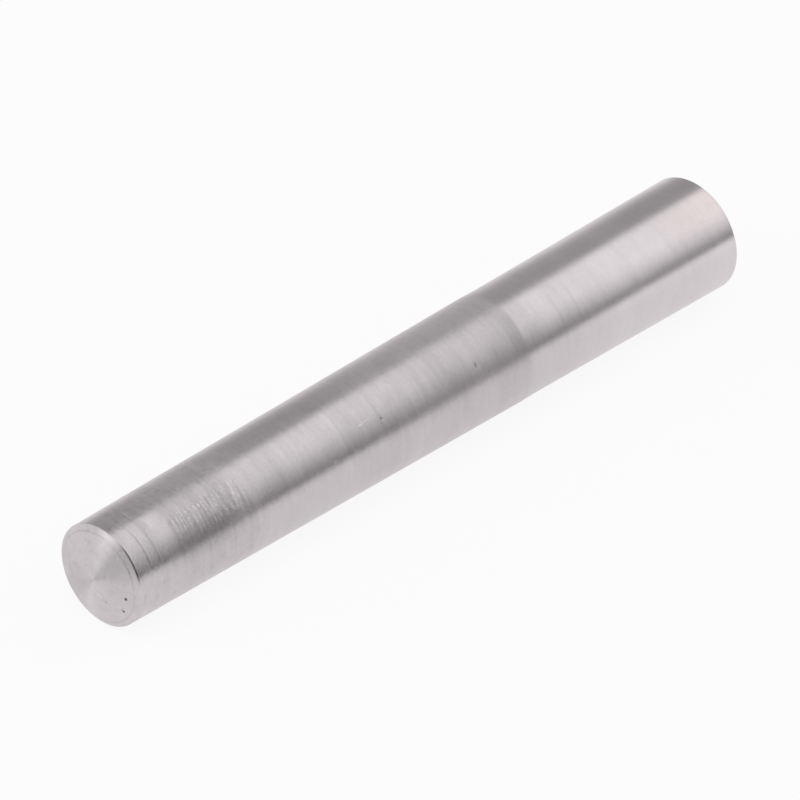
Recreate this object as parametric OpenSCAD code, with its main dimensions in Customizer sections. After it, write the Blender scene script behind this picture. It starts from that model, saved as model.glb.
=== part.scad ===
// Taper pin: a solid turned pin that is driven into a reamed 1:50 hole to lock
// a hub or a lever on its shaft. It lies along X with its small end at the
// origin, in millimetres.

/* [Pin] */
// Diameter at the rim of the small end, the size that names the pin
small_end_diameter = 5; // [3:0.1:12]
// Length over both crowned ends
overall_length = 40; // [20:1:90]
// Length in which the diameter grows by one: 50 is the usual 1:50 taper
taper_ratio = 50; // [20:1:100]

/* [Ends] */
// How far the crown of the small end stands out in front of its rim
small_crown_height = 0.48; // [0.3:0.01:1]
// How far the crown of the large end stands out behind its rim
large_crown_height = 0.78; // [0.3:0.01:1]
// Width of the conical band between each rim and its crown
rim_band_width = 0.28; // [0.1:0.01:0.5]
// How far that band climbs from the rim to the crown
rim_band_rise = 0.14; // [0.04:0.01:0.2]
// Size of the broken edge around each rim
edge_break = 0.04; // [0.02:0.01:0.08]

/* [Blend step] */
// Where the step starts, as a share of the length between the two rims
step_place = 0.64; // [0.15:0.01:0.85]
// How far the surface drops at the step
step_drop = 0.03; // [0.01:0.005:0.1]
// Length over which it drops
step_run = 1.3; // [0.2:0.1:2]

/* [Hidden] */
$fn = 128;

// The rims are the sharp corners that the broken edges replace
rim_span = overall_length - small_crown_height - large_crown_height;
small_rim_radius = small_end_diameter / 2;
large_rim_radius = cone_radius(rim_span) - step_drop;
step_start = step_place * rim_span;
step_end = step_start + step_run;

// Radius of the taper at a distance from the small rim
function cone_radius(distance) = small_rim_radius + distance / (2 * taper_ratio);

// Radius of the circle through a flat arc's two ends and its top
function arc_radius(half_width, height) = (half_width ^ 2 + height ^ 2) / (2 * height);

// Half of a crown's section, standing on the first axis with its top on the second
module crown_section(half_width, height) {
    radius = arc_radius(half_width, height);
    intersection() {
        translate([0, height - radius]) circle(r = radius);
        square([half_width, height]);
    }
}

// Half of the shank's section: radius first, distance from the small rim second
module shank_section() {
    polygon([
        [0, -rim_band_rise],
        [small_rim_radius - rim_band_width, -rim_band_rise],
        [small_rim_radius - edge_break, 0],
        [cone_radius(edge_break), edge_break],
        [cone_radius(step_start), step_start],
        [cone_radius(step_end) - step_drop, step_end],
        [cone_radius(rim_span - edge_break) - step_drop, rim_span - edge_break],
        [large_rim_radius - edge_break, rim_span],
        [large_rim_radius - rim_band_width, rim_span + rim_band_rise],
        [0, rim_span + rim_band_rise]
    ]);
}

module pin_section() {
    shank_section();
    translate([0, -rim_band_rise]) mirror([0, 1])
        crown_section(small_rim_radius - rim_band_width, small_crown_height - rim_band_rise);
    translate([0, rim_span + rim_band_rise])
        crown_section(large_rim_radius - rim_band_width, large_crown_height - rim_band_rise);
}

module taper_pin() {
    color("silver")
        rotate([0, 90, 0]) rotate_extrude() pin_section();
}

taper_pin();
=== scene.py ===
"""A turned taper pin on a white sheet, in metres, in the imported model's frame."""

import math

import bmesh
import bpy
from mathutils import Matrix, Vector, noise


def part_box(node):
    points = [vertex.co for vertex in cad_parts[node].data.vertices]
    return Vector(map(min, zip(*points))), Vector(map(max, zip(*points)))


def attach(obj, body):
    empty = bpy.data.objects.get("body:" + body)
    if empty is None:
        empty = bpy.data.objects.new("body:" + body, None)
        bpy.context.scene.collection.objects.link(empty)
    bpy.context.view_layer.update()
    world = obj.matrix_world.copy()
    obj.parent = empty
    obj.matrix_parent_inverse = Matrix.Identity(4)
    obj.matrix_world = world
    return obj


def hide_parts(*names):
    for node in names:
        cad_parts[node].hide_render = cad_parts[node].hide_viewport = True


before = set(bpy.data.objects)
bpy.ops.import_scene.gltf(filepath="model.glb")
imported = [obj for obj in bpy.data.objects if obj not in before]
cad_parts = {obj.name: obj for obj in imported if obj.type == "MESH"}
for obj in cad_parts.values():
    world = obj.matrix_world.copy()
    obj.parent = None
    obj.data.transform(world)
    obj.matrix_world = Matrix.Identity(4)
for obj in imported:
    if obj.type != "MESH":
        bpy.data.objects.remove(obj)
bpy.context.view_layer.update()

MM = 0.001

# The pin, in millimetres from the middle of the small end's rim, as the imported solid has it
PIN_LOW, PIN_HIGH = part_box("taper_pin")
SMALL_RADIUS = 2.5
TAPER_PER_MM = 0.01
SMALL_CROWN = -PIN_LOW.x / MM
LARGE_CROWN = 0.78
RIM_SPAN = PIN_HIGH.x / MM - LARGE_CROWN
BAND_WIDTH = 0.28
BAND_RISE = 0.14
EDGE_ROUND = 0.045
STEP_START = 24.79
STEP_RUN = 1.3
STEP_DROP = 0.03

# The mesh: points around, the spacing of its rings, and the steps of a rounded edge
SEGMENTS = 96
SHANK_SPACING = 0.06
CROWN_SPACING = 0.03
EDGE_SPACING = 0.012
EDGE_STEPS = 7
# How finely the mesh is divided round a dent, and how far out: a share of the dent and a margin in mm
DENT_CUTS = 3
DENT_REACH = 1.5
DENT_MARGIN = 0.09

# The marks of the tool: ridges around the shank and on the crowns, and a line beside each crown
FEED_PITCH = 0.26
FEED_DEPTH = 0.0012
FACING_PITCH = 0.16
FACING_DEPTH = 0.0002
SHANK_RIDGES, CROWN_RIDGES = 1.0, 7.0  # which stretch of the noise each takes its unevenness from
BAND_LINE_INSET, BAND_LINE_WIDTH, BAND_LINE_DEPTH = 0.03, 0.06, 0.012

# Ring grooves in the shank: place, width and depth
RINGS = [(0.9, 0.19, 0.009), (1.45, 0.17, 0.007), (15.55, 0.2, 0.002), (27.35, 0.3, 0.002)]
# Small dents in the shank: where the middle is, how wide and how deep, in millimetres. The first
# number is the place along the pin, the second the angle up from the -Y side, in degrees.
SHANK_DENTS = [(21.72, 40.4, 0.12, 0.007), (21.7, 38.8, 0.16, 0.013), (21.68, 37.0, 0.14, 0.011),
               (15.61, 39.4, 0.17, 0.015)]
# Pits in the small end's crown: y and z of the middle, width and depth
CROWN_PITS = [(-1.79, -0.30, 0.19, 0.04), (-1.61, -1.05, 0.17, 0.03), (-1.52, -0.97, 0.1, 0.016),
              (-0.69, -0.93, 0.19, 0.008)]


def cone_radius(x):
    """Radius of the shank without marks, with its shallow step."""
    fall = min(max((x - STEP_START) / STEP_RUN, 0.0), 1.0)
    eased = fall * fall * (3 - 2 * fall)
    return SMALL_RADIUS + TAPER_PER_MM * x - STEP_DROP * eased


LARGE_RADIUS = cone_radius(RIM_SPAN)


# ---------------------------------------------------------------- geometry

def spaced(start, end, spacing):
    """Numbers from start to end, both included, about a spacing apart."""
    count = max(2, round(abs(end - start) / spacing) + 1)
    return [start + (end - start) * i / (count - 1) for i in range(count)]


def ripple(place, pitch, depth, stretch):
    """Depth of a tool's ridges at a place: scallops whose depth varies from one to the next."""
    turn, phase = divmod(place / pitch, 1.0)
    scallop = 4 * phase * (1 - phase)
    uneven = 0.6 + 0.4 * noise.noise(Vector((turn * 0.37, stretch, 0.5)))
    wander = noise.noise(Vector((place * 1.3, stretch, 4.5))) * 0.9
    return depth * (scallop * uneven + wander + 0.9)


def groove(place, centre, width, depth):
    """Depth of one round-bottomed ring groove at a place."""
    offset = abs(place - centre) / (width / 2)
    return depth * (1 - offset * offset) ** 2 if offset < 1 else 0.0


def shank_radius(x):
    """Radius of the shank with the ridges of the feed and the ring grooves."""
    marks = ripple(x, FEED_PITCH, FEED_DEPTH, SHANK_RIDGES)
    marks += sum(groove(x, *ring) for ring in RINGS)
    return cone_radius(x) - marks


def crown_sphere(rim_radius, height):
    """Radius of the sphere that a crown is part of."""
    edge = rim_radius - BAND_WIDTH
    rise = height - BAND_RISE
    return (edge ** 2 + rise ** 2) / (2 * rise)


def crown_points(rim_radius, height):
    """A crown from its top to its rim band, as (height over the rim, radius) pairs."""
    sphere = crown_sphere(rim_radius, height)
    points = []
    for radius in spaced(0.0, rim_radius - BAND_WIDTH, CROWN_SPACING):
        dome = height - sphere + math.sqrt(sphere ** 2 - radius ** 2)
        points.append((dome - ripple(radius, FACING_PITCH, FACING_DEPTH, CROWN_RIDGES), radius))
    return points


def band_points(rim_radius):
    """The conical band from the crown to the rounded rim edge, with a tool line beside the crown."""
    points = []
    for radius in spaced(rim_radius - BAND_WIDTH, rim_radius - EDGE_ROUND, EDGE_SPACING)[1:]:
        share = (rim_radius - radius) / BAND_WIDTH
        line = groove(radius, rim_radius - BAND_WIDTH + BAND_LINE_INSET, BAND_LINE_WIDTH, BAND_LINE_DEPTH)
        points.append((BAND_RISE * share - line, radius))
    return points


def edge_points(rim_radius, lead):
    """The rounded edge between the band and the shank; lead is the shank's slope there."""
    low = (BAND_RISE * EDGE_ROUND / BAND_WIDTH, rim_radius - EDGE_ROUND)
    corner = (0.0, rim_radius)
    high = (-EDGE_ROUND, rim_radius + lead * EDGE_ROUND)
    points = []
    for i in range(1, EDGE_STEPS + 1):
        t = i / EDGE_STEPS
        points.append(tuple(
            (1 - t) ** 2 * a + 2 * t * (1 - t) * b + t * t * c
            for a, b, c in zip(low, corner, high)))
    return points


def end_points(rim_radius, height, lead):
    """One end of the pin from its top to the shank, as (height over the rim, radius) pairs."""
    return crown_points(rim_radius, height) + band_points(rim_radius) + edge_points(rim_radius, lead)


def pin_profile():
    """The whole outline from the small end's top to the large end's, as (x, radius) pairs."""
    small = [(-h, r) for h, r in end_points(SMALL_RADIUS, SMALL_CROWN, TAPER_PER_MM)]
    large = [(RIM_SPAN + h, r) for h, r in end_points(LARGE_RADIUS, LARGE_CROWN, -TAPER_PER_MM)]
    places = spaced(EDGE_ROUND, RIM_SPAN - EDGE_ROUND, SHANK_SPACING)[1:-1]
    shank = [(x, shank_radius(x)) for x in places]
    return small + shank + large[::-1]


def crown_place(y, z):
    """The point of the small end's crown at a given y and z."""
    sphere = crown_sphere(SMALL_RADIUS, SMALL_CROWN)
    return Vector((sphere - SMALL_CROWN - math.sqrt(sphere ** 2 - y * y - z * z), y, z)) * MM


def shank_place(x, angle):
    """The point of the shank at a place along it and an angle up from the -Y side."""
    turn = math.radians(angle)
    return Vector((x, -cone_radius(x) * math.cos(turn), cone_radius(x) * math.sin(turn))) * MM


def all_dents():
    """The middle of each dent and pit in metres, with its width and depth in mm."""
    dents = [(shank_place(x, angle), width, depth) for x, angle, width, depth in SHANK_DENTS]
    return dents + [(crown_place(y, z), width, depth) for y, z, width, depth in CROWN_PITS]


def press_dents(mesh):
    """Divides the mesh finely round each dent, then presses the dent in."""
    for centre, width, depth in all_dents():
        reach = width * MM / 2
        divided = reach * DENT_REACH + DENT_MARGIN * MM
        inside = {v for v in mesh.verts if (v.co - centre).length < divided}
        edges = [e for e in mesh.edges if e.verts[0] in inside and e.verts[1] in inside]
        bmesh.ops.subdivide_edges(mesh, edges=edges, cuts=DENT_CUTS, use_grid_fill=True)
        mesh.normal_update()
        pressed = []
        for v in mesh.verts:
            share = (v.co - centre).length / reach
            if share < 1:
                pressed.append((v, v.co - v.normal * depth * MM * (1 - share * share) ** 2))
        for v, place in pressed:
            v.co = place


def revolve(profile, name):
    """A closed mesh of the profile turned around X, with a UV map that runs around the pin."""
    mesh = bmesh.new()
    uv = mesh.loops.layers.uv.new("around")
    length = [0.0]
    for a, b in zip(profile, profile[1:]):
        length.append(length[-1] + math.dist(a, b))
    tips = [mesh.verts.new((profile[k][0] * MM, 0, 0)) for k in (0, -1)]
    rings = []
    for x, radius in profile[1:-1]:
        ring = []
        for i in range(SEGMENTS):
            angle = 2 * math.pi * i / SEGMENTS
            ring.append(mesh.verts.new(
                (x * MM, radius * MM * math.cos(angle), radius * MM * math.sin(angle))))
        rings.append(ring)

    def face(corners):
        made = mesh.faces.new([corner[0] for corner in corners])
        made.smooth = True
        for loop, corner in zip(made.loops, corners):
            loop[uv].uv = (corner[1] / SEGMENTS, corner[2] / length[-1])

    for i in range(SEGMENTS):
        j = (i + 1) % SEGMENTS
        face([(tips[0], i + 0.5, 0), (rings[0][j], i + 1, length[1]), (rings[0][i], i, length[1])])
        face([(tips[1], i + 0.5, length[-1]), (rings[-1][i], i, length[-2]),
              (rings[-1][j], i + 1, length[-2])])
        for k in range(len(rings) - 1):
            low, high = rings[k], rings[k + 1]
            face([(low[i], i, length[k + 1]), (low[j], i + 1, length[k + 1]),
                  (high[j], i + 1, length[k + 2]), (high[i], i, length[k + 2])])
    bmesh.ops.recalc_face_normals(mesh, faces=mesh.faces)
    press_dents(mesh)
    data = bpy.data.meshes.new(name)
    mesh.to_mesh(data)
    mesh.free()
    piece = bpy.data.objects.new(name, data)
    bpy.context.scene.collection.objects.link(piece)
    return piece


# ---------------------------------------------------------------- materials

class Graph:
    """Short names for adding nodes to a tree and joining them."""

    def __init__(self, tree):
        self.tree = tree
        tree.nodes.clear()

    def add(self, kind, inputs=(), **settings):
        node = self.tree.nodes.new(kind)
        for key, value in settings.items():
            setattr(node, key, value)
        for socket, value in dict(inputs).items():
            self.put(node, socket, value)
        return node

    def put(self, node, socket, value):
        """Sets a socket to a value, or joins it to another node's output."""
        if isinstance(value, bpy.types.NodeSocket):
            self.tree.links.new(value, node.inputs[socket])
        else:
            node.inputs[socket].default_value = value

    def math(self, operation, first, second=0.0, third=0.0, clamp=False):
        node = self.add("ShaderNodeMath", operation=operation, use_clamp=clamp,
                        inputs={0: first, 1: second, 2: third})
        return node.outputs[0]

    def times(self, first, *others):
        """The product of two or more values."""
        for other in others:
            first = self.math("MULTIPLY", first, other)
        return first

    def vector(self, x, y, z):
        return self.add("ShaderNodeCombineXYZ", inputs={0: x, 1: y, 2: z}).outputs[0]

    def noise(self, vector, scale, detail=2.0, rough=0.5):
        node = self.add("ShaderNodeTexNoise", inputs={
            "Vector": vector, "Scale": scale, "Detail": detail, "Roughness": rough})
        return node.outputs["Fac"]

    def remap(self, value, low, high, to_low=0.0, to_high=1.0, smooth=False):
        node = self.add("ShaderNodeMapRange", inputs={
            "Value": value, "From Min": low, "From Max": high, "To Min": to_low, "To Max": to_high})
        if smooth:
            node.interpolation_type = "SMOOTHSTEP"
        return node.outputs["Result"]

    def ramp(self, value, stops):
        """A grey ramp; each stop is a place from 0 to 1 and a level."""
        node = self.add("ShaderNodeValToRGB", inputs={"Fac": value})
        elements = node.color_ramp.elements
        while len(elements) < len(stops):
            elements.new(0.5)
        for element, (place, level) in zip(elements, stops):
            element.position = place
            element.color = (level, level, level, 1.0)
        return node.outputs["Color"]

    def mix(self, share, first, second):
        """A colour between two others, by a share from 0 to 1."""
        node = self.add("ShaderNodeMix", data_type="RGBA", inputs={0: share, 6: first, 7: second})
        return node.outputs[2]


STEEL_TINT = (1.0, 0.94, 0.965)
# Along the pin, how bright and how rough the turned surface is and how strongly its texture shows:
# place in mm, level
SHINE_ALONG = [(0, 0.64), (2.4, 0.65), (6.6, 0.65), (9.0, 0.65), (13, 0.63),
               (15.5, 0.63), (17, 0.655), (23.5, 0.65), (25.5, 0.65), (27.5, 0.66),
               (32.5, 0.7), (35, 0.69), (38, 0.715), (39.5, 0.72)]
ROUGH_ALONG = [(0, 0.4), (2.4, 0.4), (3.0, 0.48), (6.8, 0.48), (8.5, 0.39), (13, 0.39),
               (17, 0.44), (20, 0.48), (24.7, 0.49), (25.0, 0.38), (32, 0.35), (39.5, 0.34)]
WEAR_ALONG = [(0, 1.0), (2.5, 0.9), (3.0, 1.0), (6.8, 1.0), (8.5, 0.72), (24, 0.68),
              (25, 0.5), (30, 0.38), (39.5, 0.3)]

# Lines around the pin, dark and light: place, half width and how much light they take or add. The dark ones
# are partly ring marks in the finish and partly painted shade in the highlight; the light ones are painted
# highlights on the grooves' edges.
RING_MARKS_AND_SHADE = [(0.9, 0.06, 0.35), (1.47, 0.09, 0.22), (10.15, 0.13, 0.07), (13.25, 0.12, 0.075),
              (15.55, 0.1, 0.1), (18.35, 0.13, 0.07), (27.35, 0.12, 0.11), (28.45, 0.13, 0.07)]
RING_HIGHLIGHTS = [(1.01, 0.06, 0.03), (1.56, 0.06, 0.02)]
# The angles of the highlight, between which the rings show in full as painted shade and highlight, how soft
# those ends are, and what shows elsewhere
RING_HIGHLIGHT_ANGLES = (20.0, 62.0)
LINE_END_SOFTNESS = 9.0
RING_REST = 0.12
# Lines are broken up by a noise: the levels between which they appear, and the least that shows
BREAK_RISE, BREAK_LEAST = (0.3, 0.6), 0.35
# Small light marks on the shank: place, angle, half length along the pin, half height in degrees, and
# how much light they add
SHANK_MARKS = [(14.38, 44.2, 0.19, 1.0, 0.34), (14.6, 44.9, 0.16, 0.9, 0.24),
               (14.86, 45.4, 0.26, 0.9, 0.2), (1.5, 86.5, 0.09, 12.0, 0.19),
               (12.3, 24.7, 0.12, 2.8, 0.4), (6.35, 35.0, 0.26, 3.2, 0.26),
               (8.7, 34.0, 0.06, 1.3, 0.1)]
# Small light marks on the small end's crown: y and z of the middle, half width, half height, light
CROWN_MARKS = [(-0.26, -0.68, 0.1, 0.08, 0.2), (-1.26, 0.30, 0.1, 0.06, 0.11)]
OVAL_CORE = 0.35  # the share of such a mark that is at full strength
# The line between the crown and its rim band: radius, half width and how much light it takes
CROWN_LINE = (2.21, 0.05, 0.16)
# Painted shade in the dents and pits: how dark a dent is, by its depth in mm up to a limit, and the shares of
# its width over which it fades
DENT_SHADE_PER_MM, DENT_SHADE_LIMIT = 22, 0.78
DENT_FADE = (0.2, 0.6)
# Painted shade and painted highlights on parts of the shank, which take or add a little light, fitted to how
# bright the photo is there:
# places, angles, how soft the ends are along the pin, and how much
PAINTED_SHADE_PARTS = [((-1.0, 1.8), (22.0, 84.0), 0.4, 0.09), ((2.6, 6.4), (24.0, 84.0), 0.5, 0.13),
              ((7.4, 9.6), (32.0, 80.0), 0.5, 0.07), ((12.4, 14.6), (32.0, 80.0), 0.8, 0.03),
              ((17.5, 26.0), (32.0, 78.0), 1.0, 0.07), ((24.1, 24.83), (27.0, 68.0), 0.07, 0.12),
              ((1.8, 5.6), (16.0, 34.0), 0.5, 0.22), ((5.6, 10.5), (20.0, 32.0), 1.0, 0.05)]
PAINTED_HIGHLIGHT_PARTS = [((24.9, 27.3), (27.0, 86.0), 0.07, 0.045), ((12.5, 34.0), (92.0, 122.0), 1.5, 0.09),
               ((25.5, 45.0), (22.0, 50.0), 2.0, 0.09), ((30.0, 45.0), (22.0, 46.0), 3.0, 0.17)]
PART_SOFTNESS = 16.0
# A painted warm reflection on the large end's highlight: places, angles and colour
PAINTED_WARM_REFLECTION_PART = ((36.0, 45.0), (44.0, 76.0))
PAINTED_WARM_REFLECTION_SOFTNESS = 2.5
PAINTED_WARM_REFLECTION_TINT = (1.02, 0.915, 0.905)
# Painted shade: the dark line along the small rim, drawn only on its camera side: place, half width, strength
# and angles
RIM_SHADE_PLACE, RIM_SHADE_WIDTH, RIM_SHADE_DEPTH = 0.035, 0.07, 0.78
RIM_SHADE_ANGLES = (19.0, 59.0)
# The patch rubbed on the ridges, partly real wear and partly painted glints and shade, which show only across
# the highlight's angles: places and angles, with how soft each pair of ends is
RUB_PLACES, RUB_PLACE_SOFTNESS = (2.8, 7.1), 0.5
RUB_ANGLES, RUB_ANGLE_SOFTNESS = (28.0, 62.0), 5.0
# Its ridges: how far they wander in mm, how wide they are (of a cosine), and how much of the noise
# that breaks them up is each ridge's own, the rest running across ridges
RIDGE_WANDER = 1.1
RIDGE_RISE = (-0.5, 0.8)
OWN_SHARE, ROW_SHARE = 0.6, 0.4
# Levels of that noise between which spots and lines appear, how much painted glint they add, how much painted
# shade the gaps between ridges take, how much light the patch's blotches change, and how much smoother its
# spots are
SPOT_RISE, LINE_RISE = (0.49, 0.59), (0.42, 0.56)
RUB_GLINT = 0.07
RUB_LINE_GLINT = 0.07
RUB_GAP_SHADE = 0.1
RUB_BLOTCH = 0.34
RUB_SMOOTHER = 0.1
# Faint smudges: the noise levels between which they appear, and how dark they are along the pin
SMUDGE_RISE = (0.52, 0.66)
SMUDGE_DARK, SMUDGE_DARK_BEYOND = 0.075, 0.01875
SMUDGE_FADE = (6.0, 8.5)

# Noise around the pin: waves per mm along it and around it, detail and roughness
BANDS = (0.55, 0.02, 2.0, 0.5)
BROAD_TURNS = (2.7, 0.7, 2.0, 0.55)
FINE_TURNS = (7.0, 0.25, 3.0, 0.6)
# Noise the same in all directions: waves per mm, detail and roughness
CLOUDS = (0.9, 3.0, 0.6)
SPECKLE = (5.5, 2.0, 0.6)
SMUDGES = (2.4, 3.0, 0.65)
BLOTCHES = (3.4, 2.0, 0.6)
# Streaks: waves per mm (or per ridge) along, waves per degree around, and which stretch of the noise
RIDGE_DRIFT = (0.9, 0.012, 1.7)
RIDGE_OWN = (7.31, 0.55, 2.9)
RIDGE_ROWS = (0.45, 0.34, 8.7)
LINE_BREAKS = (0.7, 0.11, 5.3)

# How much each noise changes the light, and the share of the turned texture left on the crown.
# The bands change it by themselves, from one level of their noise to another.
SPECKLE_CHANGE, CLOUD_CHANGE, FINE_CHANGE, BROAD_CHANGE = 0.42, 0.26, 0.26, 0.3
CROWN_TEXTURE = 0.3
BAND_NOISE, BAND_LEVELS = (0.25, 0.75), (0.985, 1.015)
# Angles over which the texture calms down toward the floor and over the top, with the share left
CALM_BELOW, CALM_BELOW_SHARE = (2.0, 24.0), 0.5
CALM_ABOVE, CALM_ABOVE_SHARE = (66.0, 86.0), 0.55
# Roughness: how much the bands and the speckle change it
BAND_ROUGHNESS, SPECKLE_ROUGHNESS = -0.12, 0.35
# The fine relief: its height in mm, the share of the turned lines, and the share left on the crown
RELIEF_HEIGHT, RELIEF_LINES, CROWN_RELIEF = 0.0065, 0.3, 0.2
ANISOTROPY, ANISOTROPY_TURN = 0.9, 0.25
# Places in mm over which the small rim passes into the shank, and over which the crown's face begins
SHANK_START = (-0.03, 0.0)
CROWN_FACE = (-0.1, -0.14)


def peak(g, value, centre, half_width):
    """1 at a centre, falling smoothly to 0 at a half width to either side."""
    off = g.math("ABSOLUTE", g.math("SUBTRACT", value, centre))
    return g.remap(off, 0.0, half_width, 1.0, 0.0, smooth=True)


def window(g, value, low, high, soft):
    """1 between two limits and 0 outside them, with soft ends."""
    rise = g.remap(value, low - soft, low + soft, smooth=True)
    fall = g.remap(value, high - soft, high + soft, 1.0, 0.0, smooth=True)
    return g.times(rise, fall)


def total(g, parts):
    """The sum of masks, each with its strength."""
    result = 0.0
    for mask, strength in parts:
        result = g.math("MULTIPLY_ADD", mask, strength, result)
    return result


def along_pin(g, x, stops):
    """A level read along the pin from a list of places in mm."""
    return g.ramp(g.remap(x, 0.0, 40.0), [(place / 40, float(level)) for place, level in stops])


def uneven(g, value, amount):
    """A noise as a change to either side of nothing, with a given amount from 0 to 1."""
    return g.times(g.math("SUBTRACT", value, 0.5), amount)


class Surface:
    """Where a point of the pin is, in mm and in degrees up from the -Y side, and what all its marks share."""

    def __init__(self, g):
        self.g = g
        place = g.add("ShaderNodeTexCoord").outputs["Object"]
        self.in_mm = g.add("ShaderNodeVectorMath", operation="SCALE",
                           inputs={0: place, "Scale": 1 / MM}).outputs[0]
        axes = g.add("ShaderNodeSeparateXYZ", inputs={0: self.in_mm})
        self.x, self.y, self.z = (axes.outputs[i] for i in range(3))
        self.radius = g.math("SQRT", g.math("ADD", g.times(self.y, self.y), g.times(self.z, self.z)))
        self.angle = g.times(g.math("ARCTAN2", self.z, g.times(self.y, -1.0)), 180 / math.pi)
        self.shank = g.remap(self.x, *SHANK_START)
        self.crown_face = g.remap(self.x, *CROWN_FACE)
        self.bands = self.turns(*BANDS)
        self.fine = self.turns(*FINE_TURNS)
        self.speckle = g.noise(self.in_mm, *SPECKLE)
        self.wear = self.worn()

    def turns(self, per_mm, around_per_mm, detail, rough):
        """Noise that is fine across the tool's path and long around the pin."""
        g = self.g
        along = g.math("ADD", self.x, self.radius)
        stretched = g.vector(g.times(along, per_mm), g.times(self.y, around_per_mm),
                             g.times(self.z, around_per_mm))
        return g.noise(stretched, 1.0, detail, rough)

    def streaks(self, along, per_step, per_degree, stretch):
        """Noise drawn out along the pin or around it."""
        g = self.g
        return g.noise(g.vector(g.times(along, per_step), g.times(self.angle, per_degree), stretch), 1.0, 2.0)

    def worn(self):
        """How strongly the texture shows: along the pin, and less toward the floor and over the top."""
        g = self.g
        below = g.remap(self.angle, *CALM_BELOW, CALM_BELOW_SHARE, 1.0)
        above = g.remap(self.angle, *CALM_ABOVE, 1.0, CALM_ABOVE_SHARE)
        return g.times(along_pin(g, self.x, WEAR_ALONG), g.times(below, above))

    def part(self, places, angles, soft):
        """1 on a part of the shank and 0 beyond it, with soft ends."""
        g = self.g
        return g.times(window(g, self.x, *places, soft), window(g, self.angle, *angles, PART_SOFTNESS))

    def oval(self, first, second, middle, halves):
        """1 inside an oval and 0 outside it, by two of the surface's measures."""
        g = self.g
        across = g.math("DIVIDE", g.math("SUBTRACT", first, middle[0]), halves[0])
        up = g.math("DIVIDE", g.math("SUBTRACT", second, middle[1]), halves[1])
        gap = g.math("SQRT", g.math("ADD", g.times(across, across), g.times(up, up)))
        return g.remap(gap, OVAL_CORE, 1.0, 1.0, 0.0, smooth=True)

    def rings(self, rings, shown):
        """Masks of lines around the pin, each with its strength."""
        g = self.g
        return [(g.times(peak(g, self.x, centre, width), shown), strength)
                for centre, width, strength in rings]


class Rubbed:
    """Masks of the patch where the ridges were rubbed: spots and lines on uneven ridges, which carry painted
    glints, and the gaps, which carry painted shade.
    """

    def __init__(self, surface):
        g, x, angle = surface.g, surface.x, surface.angle
        drift = surface.streaks(x, *RIDGE_DRIFT)
        turns = g.math("DIVIDE", g.math("MULTIPLY_ADD", drift, RIDGE_WANDER, x), FEED_PITCH)
        ridge = g.remap(g.math("COSINE", g.times(turns, 2 * math.pi)), *RIDGE_RISE, smooth=True)
        number = g.math("FLOOR", g.math("ADD", turns, 0.5))
        own = g.times(surface.streaks(number, *RIDGE_OWN), OWN_SHARE)
        rows = g.times(surface.streaks(x, *RIDGE_ROWS), ROW_SHARE)
        mixed = g.math("ADD", own, rows)
        lines = g.remap(mixed, *LINE_RISE, smooth=True)
        self.patch = g.times(window(g, x, *RUB_PLACES, RUB_PLACE_SOFTNESS),
                             window(g, angle, *RUB_ANGLES, RUB_ANGLE_SOFTNESS))
        self.spots = g.times(ridge, g.remap(mixed, *SPOT_RISE, smooth=True), self.patch)
        self.lines = g.times(ridge, lines, self.patch)
        self.gaps = g.times(g.math("SUBTRACT", 1.0, ridge), lines, self.patch)


def dent_shade_masks(surface):
    """Masks of painted shade in the dents and pits, darker the deeper they are."""
    g = surface.g
    masks = []
    for centre, width, depth in all_dents():
        middle = tuple(c / MM for c in centre)
        gap = g.add("ShaderNodeVectorMath", operation="DISTANCE",
                    inputs={0: surface.in_mm, 1: middle}).outputs[1]
        mask = g.remap(gap, width * DENT_FADE[0], width * DENT_FADE[1], 1.0, 0.0, smooth=True)
        masks.append((mask, min(DENT_SHADE_LIMIT, DENT_SHADE_PER_MM * depth)))
    return masks


def marks_and_painted_shade(surface, rubbed, broken, shown):
    """All that darkens the steel's colour, its marks and the painted shade, as masks with their strengths."""
    g, x = surface.g, surface.x
    line_radius, line_width, line_depth = CROWN_LINE
    crown_line = g.times(peak(g, surface.radius, line_radius, line_width), surface.crown_face)
    # painted shade along the small rim, on its camera side only
    rim_shade = g.times(peak(g, x, RIM_SHADE_PLACE, RIM_SHADE_WIDTH),
                       window(g, surface.angle, *RIM_SHADE_ANGLES, LINE_END_SOFTNESS))
    smudge = g.times(g.remap(g.noise(surface.in_mm, *SMUDGES), *SMUDGE_RISE, smooth=True),
                     g.remap(x, *SMUDGE_FADE, SMUDGE_DARK, SMUDGE_DARK_BEYOND, smooth=True))
    # ring marks, partly painted shade of the grooves in the highlight
    marks = surface.rings(RING_MARKS_AND_SHADE, shown)
    marks.append((g.times(crown_line, broken), line_depth))
    # painted shade on parts of the shank
    marks += [(surface.part(places, angles, soft), depth) for places, angles, soft, depth in PAINTED_SHADE_PARTS]
    marks.append((rim_shade, RIM_SHADE_DEPTH))
    # painted shade in the dents and pits
    marks += dent_shade_masks(surface)
    # smudges, and painted shade in the gaps between the rubbed ridges
    return marks + [(smudge, 1.0), (rubbed.gaps, RUB_GAP_SHADE)]


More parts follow.
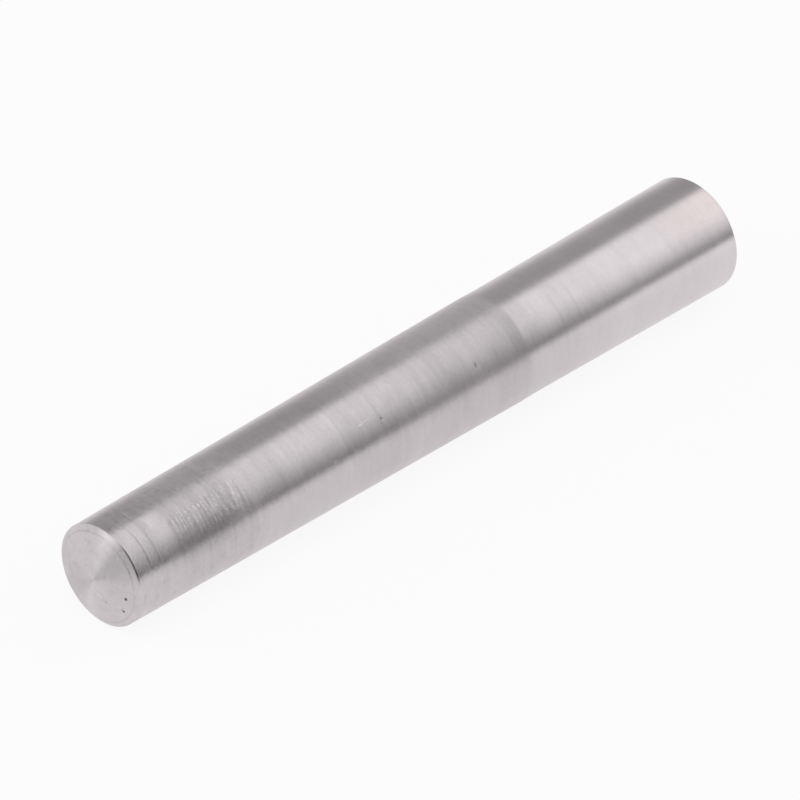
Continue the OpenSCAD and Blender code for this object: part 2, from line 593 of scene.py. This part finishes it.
def marks_and_painted_highlights(surface, rubbed, shown):
    """All that lightens the steel's colour, its marks and the painted highlights and glints, as masks with
    their strengths.
    """
    g = surface.g
    # painted highlights on the grooves' edges
    marks = surface.rings(RING_HIGHLIGHTS, shown)
    for centre, turn, half_x, half_turn, change in SHANK_MARKS:
        mark = surface.oval(surface.x, surface.angle, (centre, turn), (half_x, half_turn))
        marks.append((mark, change))
    for centre_y, centre_z, half_y, half_z, change in CROWN_MARKS:
        mark = surface.oval(surface.y, surface.z, (centre_y, centre_z), (half_y, half_z))
        marks.append((g.times(mark, surface.crown_face), change))
    # painted highlights on parts of the shank
    marks += [(surface.part(places, angles, soft), rise) for places, angles, soft, rise in PAINTED_HIGHLIGHT_PARTS]
    # painted glints on the rubbed ridges
    return marks + [(rubbed.spots, RUB_GLINT), (rubbed.lines, RUB_LINE_GLINT)]


def texture(surface, rubbed):
    """The uneven brightness of the turned steel, to either side of nothing."""
    g = surface.g
    broad = surface.turns(*BROAD_TURNS)
    clouds = g.noise(surface.in_mm, *CLOUDS)
    turned = g.math("ADD", uneven(g, surface.fine, FINE_CHANGE), uneven(g, broad, BROAD_CHANGE))
    turned = g.times(turned, g.remap(surface.shank, 0.0, 1.0, CROWN_TEXTURE, 1.0))
    flat = g.math("ADD", uneven(g, surface.speckle, SPECKLE_CHANGE), uneven(g, clouds, CLOUD_CHANGE))
    blotch = uneven(g, g.noise(surface.in_mm, *BLOTCHES), RUB_BLOTCH)
    return g.math("MULTIPLY_ADD", g.math("ADD", flat, turned), surface.wear, g.times(blotch, rubbed.patch))


def steel_colour(surface, rubbed):
    """The steel's tint, at the level that the texture, all marks and the painted shade, highlights and warm
    reflection give it.
    """
    g = surface.g
    broken = g.remap(surface.streaks(surface.x, *LINE_BREAKS), *BREAK_RISE, BREAK_LEAST, 1.0)
    # across the highlight's angles the rings show in full, as painted shade and highlight; elsewhere only a
    # rest of them
    shown = g.times(broken, window(g, surface.angle, *RING_HIGHLIGHT_ANGLES, LINE_END_SOFTNESS))
    shown = g.remap(shown, 0.0, 1.0, RING_REST, 1.0)
    dark = total(g, marks_and_painted_shade(surface, rubbed, broken, shown))
    light = total(g, marks_and_painted_highlights(surface, rubbed, shown))
    level = g.times(along_pin(g, surface.x, SHINE_ALONG), g.math("ADD", texture(surface, rubbed), 1.0))
    level = g.times(level, g.remap(surface.bands, *BAND_NOISE, *BAND_LEVELS))
    level = g.times(level, g.math("SUBTRACT", 1.0, dark, clamp=True))
    level = g.times(level, g.math("ADD", 1.0, light))
    # the painted warm reflection on the large end's highlight
    tint = g.mix(surface.part(*PAINTED_WARM_REFLECTION_PART, PAINTED_WARM_REFLECTION_SOFTNESS), (*STEEL_TINT, 1.0), (*PAINTED_WARM_REFLECTION_TINT, 1.0))
    return g.add("ShaderNodeVectorMath", operation="SCALE", inputs={0: tint, "Scale": level}).outputs[0]


def steel_roughness(surface, rubbed):
    """Rougher or smoother along the pin and with the grain, and smoother where it was rubbed."""
    g = surface.g
    roughness = g.math("ADD", along_pin(g, surface.x, ROUGH_ALONG), uneven(g, surface.bands, BAND_ROUGHNESS))
    grain = g.times(uneven(g, surface.speckle, SPECKLE_ROUGHNESS), surface.wear)
    return g.math("SUBTRACT", g.math("ADD", roughness, grain), g.times(rubbed.spots, RUB_SMOOTHER))


def steel_relief(surface):
    """A normal bumped by the speckle and the turned lines, fainter on the crown."""
    g = surface.g
    height = g.times(g.math("ADD", surface.speckle, g.times(surface.fine, RELIEF_LINES)), surface.wear)
    height = g.times(height, g.remap(surface.shank, 0.0, 1.0, CROWN_RELIEF, 1.0))
    return g.add("ShaderNodeBump", inputs={
        "Strength": 1.0, "Distance": RELIEF_HEIGHT * MM, "Height": height}).outputs[0]


def turned_steel():
    """Bright turned steel, whose shine is drawn out across the turned lines."""
    material = bpy.data.materials.new("turned_steel")
    material.use_nodes = True
    g = Graph(material.node_tree)
    surface = Surface(g)
    rubbed = Rubbed(surface)
    tangent = g.add("ShaderNodeTangent", direction_type="UV_MAP", uv_map="around").outputs[0]
    steel = g.add("ShaderNodeBsdfPrincipled", inputs={
        "Base Color": steel_colour(surface, rubbed), "Metallic": 1.0,
        "Roughness": steel_roughness(surface, rubbed),
        "Anisotropic": ANISOTROPY, "Anisotropic Rotation": ANISOTROPY_TURN,
        "Normal": steel_relief(surface), "Tangent": tangent})
    g.add("ShaderNodeOutputMaterial", inputs={"Surface": steel.outputs[0]})
    return material


# ---------------------------------------------------------------- stage

# The sheet: its size in metres, its own colour, the white that the camera and the metal see in it, and
# how much of that white they see
FLOOR_SIZE = 6.0
SHEET_COLOUR = (0.9, 0.895, 0.89, 1.0)
SHEET_WHITE = (1.0, 0.997, 1.0, 1.0)
FLOOR_GLOW = 0.89


def white_sheet():
    """A pale matt sheet that shows white to the camera and in the metal, and still takes a shadow."""
    material = bpy.data.materials.new("white_sheet")
    material.use_nodes = True
    g = Graph(material.node_tree)
    rays = g.add("ShaderNodeLightPath")
    seen = g.math("MAXIMUM", rays.outputs["Is Camera Ray"], rays.outputs["Is Glossy Ray"])
    seen = g.math("MAXIMUM", seen, rays.outputs["Is Transmission Ray"])
    matt = g.add("ShaderNodeBsdfDiffuse", inputs={"Color": SHEET_COLOUR})
    glow = g.add("ShaderNodeEmission", inputs={"Color": SHEET_WHITE, "Strength": 1.0})
    mixed = g.add("ShaderNodeMixShader", inputs={
        0: g.times(seen, FLOOR_GLOW), 1: matt.outputs[0], 2: glow.outputs[0]})
    g.add("ShaderNodeOutputMaterial", inputs={"Surface": mixed.outputs[0]})
    return material


def make_floor():
    """A plane along the lowest line of the cone, on which the pin lies. It tilts by the taper."""
    half = FLOOR_SIZE / 2
    corners = []
    for x, y in ((-half, -half), (half, -half), (half, half), (-half, half)):
        corners.append((x, y, -SMALL_RADIUS * MM - TAPER_PER_MM * x))
    data = bpy.data.meshes.new("floor")
    data.from_pydata(corners, [], [(0, 1, 2, 3)])
    floor = bpy.data.objects.new("floor", data)
    bpy.context.scene.collection.objects.link(floor)
    data.materials.append(white_sheet())


# The room's light by direction: how bright it is for each height over the horizon, on the camera's side
ROOM_BY_HEIGHT = [(0.0, 0.02), (0.08, 0.04), (0.14, 0.34), (0.33, 0.62), (0.52, 0.84),
                  (0.66, 1.04), (0.78, 1.18), (1.0, 1.18)]
# The levels go into the ramps divided by this, which keeps them under 1, and the light is multiplied by it
ROOM_LIGHT_SCALE = 1.25
# The wall behind the pin, by height: it brightens down to the horizon, and is paler on the small end's side
WALL_BY_HEIGHT = [(0.0, 1.0), (0.06, 0.82), (0.13, 0.52), (0.22, 0.34), (0.35, 0.3), (1.0, 0.34)]
LEFT_WALL = 0.92
# Where the wall takes over from the camera's side, along +Y, and where its paler part begins, along X
FAR_WALL_START, FAR_WALL_END = 0.16, 0.36
LEFT_WALL_START, LEFT_WALL_END = 0.25, -0.25


def make_room():
    """A soft studio: a bright ceiling that fades down to a dark horizon, and a grey wall behind the pin."""
    world = bpy.data.worlds.new("studio")
    bpy.context.scene.world = world
    world.use_nodes = True
    g = Graph(world.node_tree)
    direction = g.add("ShaderNodeTexCoord").outputs["Generated"]
    axes = g.add("ShaderNodeSeparateXYZ", inputs={0: direction})
    near = g.ramp(axes.outputs[2], [(h, level / ROOM_LIGHT_SCALE) for h, level in ROOM_BY_HEIGHT])
    far = g.remap(axes.outputs[1], FAR_WALL_START, FAR_WALL_END, smooth=True)
    wall = g.ramp(axes.outputs[2], [(h, level / ROOM_LIGHT_SCALE) for h, level in WALL_BY_HEIGHT])
    left = g.remap(axes.outputs[0], LEFT_WALL_START, LEFT_WALL_END, smooth=True)
    pale = LEFT_WALL / ROOM_LIGHT_SCALE
    mixed = g.mix(far, near, g.mix(left, wall, (pale, pale, pale, 1.0)))
    glow = g.add("ShaderNodeBackground", inputs={
        "Color": mixed, "Strength": ROOM_LIGHT_SCALE})
    g.add("ShaderNodeOutputWorld", inputs={"Surface": glow.outputs[0]})


# The lamp: its direction from the frame's origin, and its distance, sides and power in metres and watts
LAMP_TOWARDS = (-0.88, 0.38, 0.28)
LAMP_DISTANCE = 0.6
LAMP_SIDES = (0.22, 0.3)
LAMP_POWER = 0.25


def make_side_light():
    """A soft lamp beyond the small end, to the camera's left."""
    towards = Vector(LAMP_TOWARDS).normalized()
    lamp = bpy.data.lights.new("side_light", "AREA")
    lamp.shape = "RECTANGLE"
    lamp.size, lamp.size_y = LAMP_SIDES
    lamp.energy = LAMP_POWER
    light = bpy.data.objects.new("side_light", lamp)
    light.location = towards * LAMP_DISTANCE
    light.rotation_mode = "QUATERNION"
    light.rotation_quaternion = towards.to_track_quat("Z", "Y")
    bpy.context.scene.collection.objects.link(light)


# The camera, in metres: where it is and a point that it looks at
CAMERA_PLACE = Vector((-0.19218, -0.20181, 0.19410))
CAMERA_AIM = Vector((0.015582, -0.003239, 0.003234))
CAMERA_LENS = 348.17
CAMERA_SENSOR = 36.0


def make_camera():
    data = bpy.data.cameras.new("camera")
    data.sensor_width = CAMERA_SENSOR
    data.lens = CAMERA_LENS
    data.clip_start, data.clip_end = 0.01, 20.0
    camera = bpy.data.objects.new("camera", data)
    camera.location = CAMERA_PLACE
    camera.rotation_mode = "QUATERNION"
    camera.rotation_quaternion = (CAMERA_AIM - CAMERA_PLACE).to_track_quat("-Z", "Y")
    bpy.context.scene.collection.objects.link(camera)
    bpy.context.scene.camera = camera


# ---------------------------------------------------------------- scene

make_camera()
pin = revolve(pin_profile(), "turned_pin")
pin.data.materials.append(turned_steel())
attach(pin, "root")
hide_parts("taper_pin")
make_floor()
make_room()
make_side_light()

bpy.context.scene.view_settings.view_transform = "Standard"
